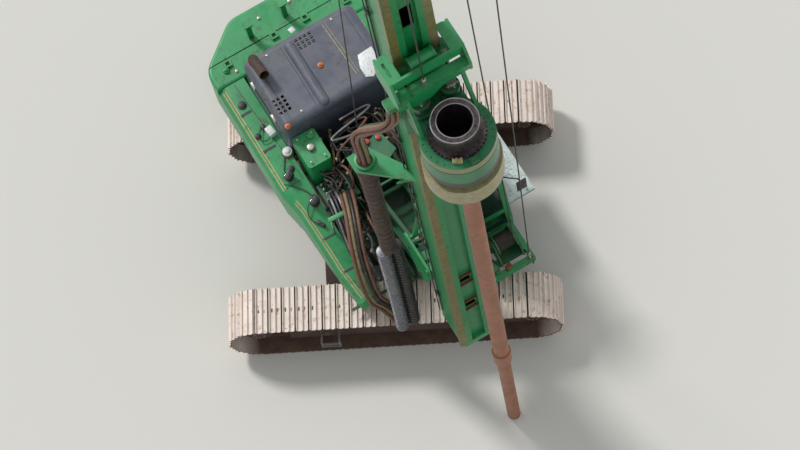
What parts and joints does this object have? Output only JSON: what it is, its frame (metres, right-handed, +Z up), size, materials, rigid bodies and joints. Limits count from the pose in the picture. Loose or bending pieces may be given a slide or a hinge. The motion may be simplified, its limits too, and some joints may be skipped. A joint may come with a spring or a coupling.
{
  "type": "foundation drilling rig",
  "caption": "Tracked foundation drilling rig: slewing upper carriage with cab, winches and engine hood, boom-carried leader mast, sliding rotary drive and drill rod.",
  "frame": {"origin": "on the ground under the tracks, on the slewing axis", "axes": "+X forward from the upper carriage to the mast, +Y to its left, +Z up"},
  "size_m": [8.534, 7.0714, 20.7],
  "materials": {
    "track_steel": "dusty worn steel shoes",
    "undercarriage_steel": "dark paint under dried mud",
    "green_paint": "green enamel",
    "dark_green_paint": "green enamel, dusty and shaded",
    "hood_paint": "matte violet-grey paint",
    "engine_iron": "dark cast iron",
    "burnt_steel": "heat-darkened rusty steel",
    "dark_steel": "oiled dark steel",
    "cylinder_chrome": "chromed rod",
    "rod_steel": "rust-brown drill pipe",
    "seat_fabric": "dark seat cloth",
    "step_aluminium": "checker plate",
    "bolt_steel": "bare steel",
    "hose_rubber": "dusty black and brown hydraulic hose"
  },
  "bodies": {
    "undercarriage": {"carbody": "undercarriage_steel", "side_step": "bolt_steel", "track_frame_left": "undercarriage_steel", "track_frame_right": "undercarriage_steel", "track_left": "track_steel", "track_right": "track_steel", "sprocket_left": "undercarriage_steel", "sprocket_right": "undercarriage_steel", "idler_left": "undercarriage_steel", "idler_right": "undercarriage_steel", "track_rollers_left": "undercarriage_steel", "track_rollers_right": "undercarriage_steel"},
    "upper_carriage": {"main_frame": "dark_green_paint", "counterweight": "green_paint", "side_deck_right": "green_paint", "side_deck_left": "green_paint", "engine_hood": "hood_paint", "engine_block": "engine_iron", "exhaust_stack": "burnt_steel", "tank_box": "green_paint", "valve_block": "dark_green_paint", "service_frame": "green_paint", "main_winch_frame": "dark_green_paint", "aux_winch_frame": "dark_green_paint", "cab_floor": "dark_green_paint", "cab_shell": "green_paint", "cab_seat": "seat_fabric", "cab_walkway": "step_aluminium", "front_platform": "green_paint"},
    "main_winch": {"main_winch_drum": "dark_green_paint"},
    "aux_winch": {"aux_winch_drum": "dark_green_paint"},
    "cab_door": {"cab_door": "green_paint"},
    "boom_arm": {"lower_arm": "green_paint"},
    "boom_link": {"upper_links": "green_paint"},
    "mast_bracket": {"mast_bracket": "green_paint"},
    "boom_cylinder_barrels": {"boom_cylinder_barrels": "green_paint"},
    "boom_cylinder_rods": {"boom_cylinder_rods": "cylinder_chrome"},
    "mast_cylinder_barrels": {"mast_cylinder_barrels": "green_paint"},
    "mast_cylinder_rods": {"mast_cylinder_rods": "cylinder_chrome"},
    "mast": {"mast_foot": "green_paint", "mast_lower": "dark_green_paint", "mast_upper": "dark_green_paint", "mast_head": "green_paint", "hose_clamp": "green_paint", "hose_sleeve": "hose_rubber", "hose_loop": "hose_rubber", "drive_hoses": "hose_rubber"},
    "rear_sheaves": {"head_sheave_rear": "bolt_steel"},
    "front_sheaves": {"head_sheave_front": "bolt_steel"},
    "feed_carriage": {"feed_carriage": "green_paint", "drive_housing": "green_paint", "drive_motors": "dark_green_paint"},
    "drill_string": {"drive_spindle": "dark_steel", "drill_rod": "rod_steel", "rod_collar": "rod_steel", "rod_tip": "rod_steel"}
  },
  "joints": [
    {"name": "slew", "type": "hinge", "parent": "undercarriage", "child": "upper_carriage", "pos_m": [0, 0, 1.125], "axis": [0, 0, 1], "continuous": true},
    {"name": "boom_luff", "type": "hinge", "parent": "upper_carriage", "child": "boom_arm", "pos_m": [0.6, 0, 1.75], "axis": [0, -1, 0], "range_deg": [0, 25], "deforming": ["hose_loop"]},
    {"name": "link_turn", "type": "hinge", "parent": "upper_carriage", "child": "boom_link", "pos_m": [0.35, 0, 2.35], "axis": [0, -1, 0], "range_deg": [0, 25]},
    {"name": "bracket_level", "type": "hinge", "parent": "boom_arm", "child": "mast_bracket", "pos_m": [1.9, 0, 2.45], "axis": [0, -1, 0], "range_deg": [-25, 0]},
    {"name": "boom_cylinder_turn", "type": "hinge", "parent": "upper_carriage", "child": "boom_cylinder_barrels", "pos_m": [1.15, 0, 1.42], "axis": [0, -1, 0], "range_deg": [0, 21.74]},
    {"name": "boom_cylinder_stroke", "type": "slide", "parent": "boom_cylinder_barrels", "child": "boom_cylinder_rods", "axis": [0.5133, 0, 0.8582], "range_m": [-0.001, 0.27939]},
    {"name": "mast_tilt", "type": "hinge", "parent": "mast_bracket", "child": "mast", "pos_m": [2.3, 0, 3.3], "axis": [0, -1, 0], "range_deg": [-5, 15], "deforming": ["hose_loop"]},
    {"name": "mast_cylinder_turn", "type": "hinge", "parent": "mast_bracket", "child": "mast_cylinder_barrels", "pos_m": [1.65, 0, 3.35], "axis": [0, -1, 0], "range_deg": [-5.03, 15.1]},
    {"name": "mast_cylinder_stroke", "type": "slide", "parent": "mast_cylinder_barrels", "child": "mast_cylinder_rods", "axis": [0.2541, 0, 0.9672], "range_m": [-0.17436, 0.05879]},
    {"name": "mast_feed", "type": "slide", "parent": "mast", "child": "feed_carriage", "axis": [0, 0, 1], "range_m": [-8.4, 6.2], "deforming": ["drive_hoses"]},
    {"name": "drill_spin", "type": "hinge", "parent": "feed_carriage", "child": "drill_string", "pos_m": [3.994, 0, 11], "axis": [0, 0, 1], "continuous": true},
    {"name": "rear_sheaves_spin", "type": "hinge", "parent": "mast", "child": "rear_sheaves", "pos_m": [2.45, 0, 20.35], "axis": [0, 1, 0], "continuous": true},
    {"name": "front_sheaves_spin", "type": "hinge", "parent": "mast", "child": "front_sheaves", "pos_m": [3.25, 0, 20.35], "axis": [0, 1, 0], "continuous": true},
    {"name": "main_winch_spin", "type": "hinge", "parent": "upper_carriage", "child": "main_winch", "pos_m": [-0.7, 0, 2.08], "axis": [0, 1, 0], "continuous": true},
    {"name": "aux_winch_spin", "type": "hinge", "parent": "upper_carriage", "child": "aux_winch", "pos_m": [1.86, 1.2, 1.72], "axis": [0, 1, 0], "continuous": true},
    {"name": "cab_door_swing", "type": "hinge", "parent": "upper_carriage", "child": "cab_door", "pos_m": [0.304, 1.592, 2.2], "axis": [0, 0, 1], "range_deg": [0, 95]}
  ],
  "couplings": [
    {"joint": "link_turn", "follows": "boom_luff", "ratio": 1},
    {"joint": "bracket_level", "follows": "boom_luff", "ratio": -1},
    {"joint": "boom_cylinder_turn", "follows": "boom_luff", "ratio": 0.85233},
    {"joint": "boom_cylinder_stroke", "follows": "boom_luff", "m_per_rad": 0.62552},
    {"joint": "mast_cylinder_turn", "follows": "mast_tilt", "ratio": 0.98702},
    {"joint": "mast_cylinder_stroke", "follows": "mast_tilt", "m_per_rad": -0.64922}
  ]
}
